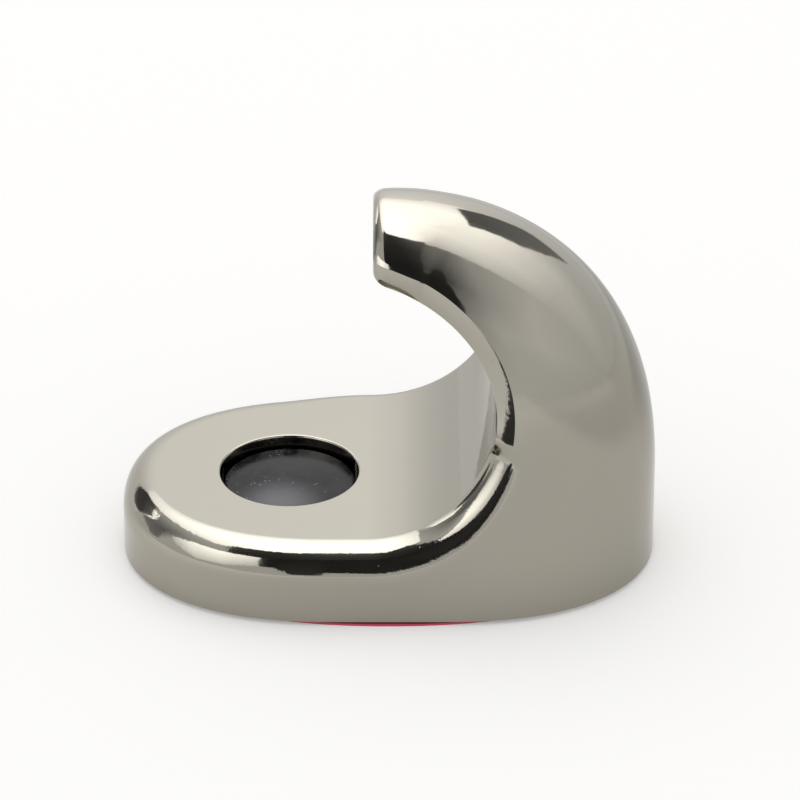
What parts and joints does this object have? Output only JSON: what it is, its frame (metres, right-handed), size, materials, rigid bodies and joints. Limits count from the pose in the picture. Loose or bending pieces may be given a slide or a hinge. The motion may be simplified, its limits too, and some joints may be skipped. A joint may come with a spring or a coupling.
{
  "type": "wall hook",
  "caption": "Short polished coat or towel hook with an oval foot, fixed to a wall by a hidden screw or by its own adhesive pad.",
  "frame": {"origin": "centre of the foot's outline, on the underside of the release liner, which is the wall's side", "axes": "+Z points out of the wall, +X runs along the foot from the screw hole's end to the arm's end, +Y across the foot. Stored lying on its back. In use -X points up."},
  "size_m": [0.048, 0.0302, 0.035],
  "materials": {
    "nickel_plate": "bright nickel plate over a polished zinc die casting",
    "black_plastic": "moulded, satin",
    "acrylic_foam": "soft grey foam, tacky on both faces",
    "red_film": "thin red release film"
  },
  "bodies": {
    "hook": {"hook_body": "nickel_plate", "adhesive_pad": "acrylic_foam"},
    "cap": {"screw_cap": "black_plastic"},
    "liner": {"release_liner": "red_film"}
  },
  "joints": [
    {"name": "cap_pull", "type": "slide", "parent": "hook", "child": "cap", "axis": [0, 0, 1], "range_m": [0, 0.012]},
    {"name": "liner_peel", "type": "slide", "parent": "hook", "child": "liner", "axis": [0, -1, 0], "range_m": [0, 0.034]}
  ]
}
